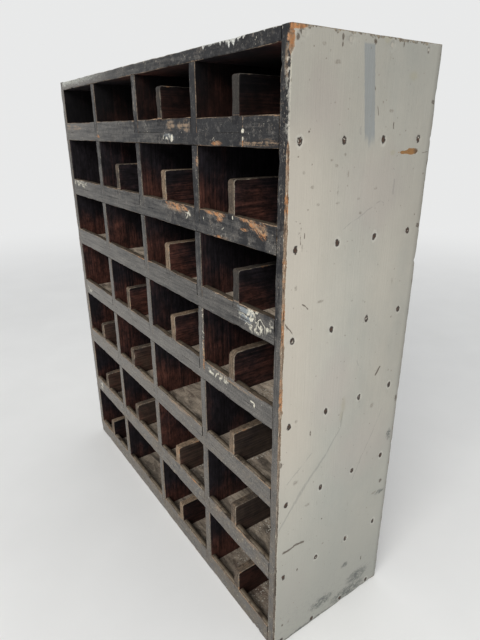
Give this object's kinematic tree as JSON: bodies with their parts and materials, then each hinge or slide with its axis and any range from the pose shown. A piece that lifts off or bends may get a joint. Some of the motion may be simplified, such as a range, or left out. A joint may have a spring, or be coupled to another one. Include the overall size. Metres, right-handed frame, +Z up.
{
  "type": "pigeonhole mail sorter",
  "caption": "Free-standing nailed wood cabinet of open pigeonholes with a lip on every shelf and low partitions that halve most of the compartments.",
  "frame": {"origin": "middle of the base, on the floor", "axes": "+Z up, the open front faces -Y, +X to the right as seen from the front"},
  "size_m": [0.96, 0.305, 1.1],
  "materials": {
    "outside_boards": "old pale grey paint over softwood, chipped and scuffed",
    "shelves": "dark stained softwood under dust, charcoal paint on the front edge",
    "uprights": "dark stained softwood, charcoal paint on the front edge",
    "back_boards": "dark stained softwood, weathered outside",
    "lips": "charcoal paint worn to the wood on the arrises",
    "low_partitions": "dark stained softwood, rubbed pale on the front and top edges",
    "nails": "rusted dark"
  },
  "bodies": {
    "root": {"left_side_board": "outside_boards", "right_side_board": "outside_boards", "top_board": "outside_boards", "base_board": "outside_boards", "shelf_1": "shelves", "shelf_2": "shelves", "shelf_3": "shelves", "shelf_4": "shelves", "shelf_5": "shelves", "shelf_6": "shelves", "upright_1": "uprights", "upright_2": "uprights", "upright_3": "uprights", "back_board_1": "back_boards", "back_board_2": "back_boards", "back_board_3": "back_boards", "back_board_4": "back_boards", "back_board_5": "back_boards", "back_board_6": "back_boards", "back_board_7": "back_boards", "back_board_8": "back_boards", "lips_row_1": "lips", "lips_row_2": "lips", "lips_row_3": "lips", "lips_row_4": "lips", "lips_row_5": "lips", "lips_row_6": "lips", "lips_row_7": "lips", "low_partition_1_3": "low_partitions", "low_partition_1_4": "low_partitions", "low_partition_2_2": "low_partitions", "low_partition_2_3": "low_partitions", "low_partition_2_4": "low_partitions", "low_partition_3_3": "low_partitions", "low_partition_3_4": "low_partitions", "low_partition_4_2": "low_partitions", "low_partition_4_3": "low_partitions", "low_partition_4_4": "low_partitions", "low_partition_5_1": "low_partitions", "low_partition_5_2": "low_partitions", "low_partition_5_4": "low_partitions", "low_partition_6_1": "low_partitions", "low_partition_6_2": "low_partitions", "low_partition_6_3": "low_partitions", "low_partition_6_4": "low_partitions", "low_partition_7_1": "low_partitions", "low_partition_7_3": "low_partitions", "low_partition_7_4": "low_partitions", "left_side_nails": "nails", "right_side_nails": "nails", "top_nails": "nails", "base_nails": "nails", "back_nails": "nails"}
  },
  "joints": []
}
